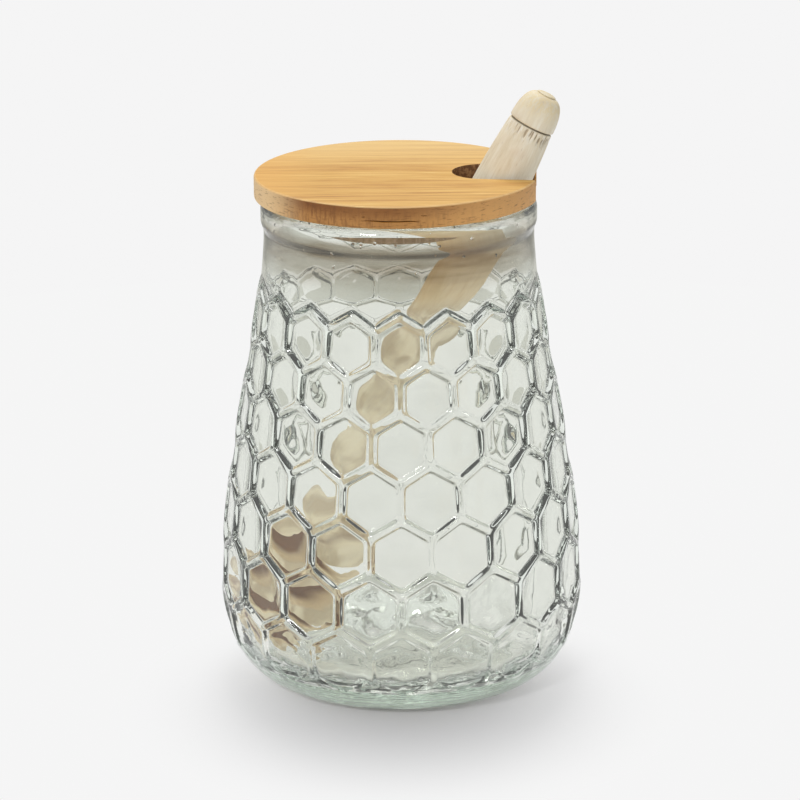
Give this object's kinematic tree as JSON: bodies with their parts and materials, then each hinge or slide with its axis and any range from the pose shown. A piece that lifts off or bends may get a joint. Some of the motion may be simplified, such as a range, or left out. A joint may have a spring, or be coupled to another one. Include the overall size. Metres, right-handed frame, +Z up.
{
  "type": "honey jar with lid and dipper",
  "caption": "Clear pressed-glass honey jar with a raised honeycomb pattern, a flat wooden lid with a slot in its edge, and a turned wooden dipper leaning out through the slot.",
  "frame": {"origin": "centre of the jar's foot, on the surface that it stands on", "axes": "+Z up along the jar's axis; +X towards the lid's slot and the leaning dipper's handle; -Y is the side that the picture shows"},
  "size_m": [0.0944, 0.0944, 0.1529],
  "materials": {
    "clear_glass": "clear pressed glass with a faint green tint",
    "lid_wood": "warm oiled hardwood, satin",
    "dipper_wood": "pale raw turned wood, matt"
  },
  "bodies": {
    "root": {"jar": "clear_glass", "lid": "lid_wood", "dipper": "dipper_wood"}
  },
  "joints": []
}
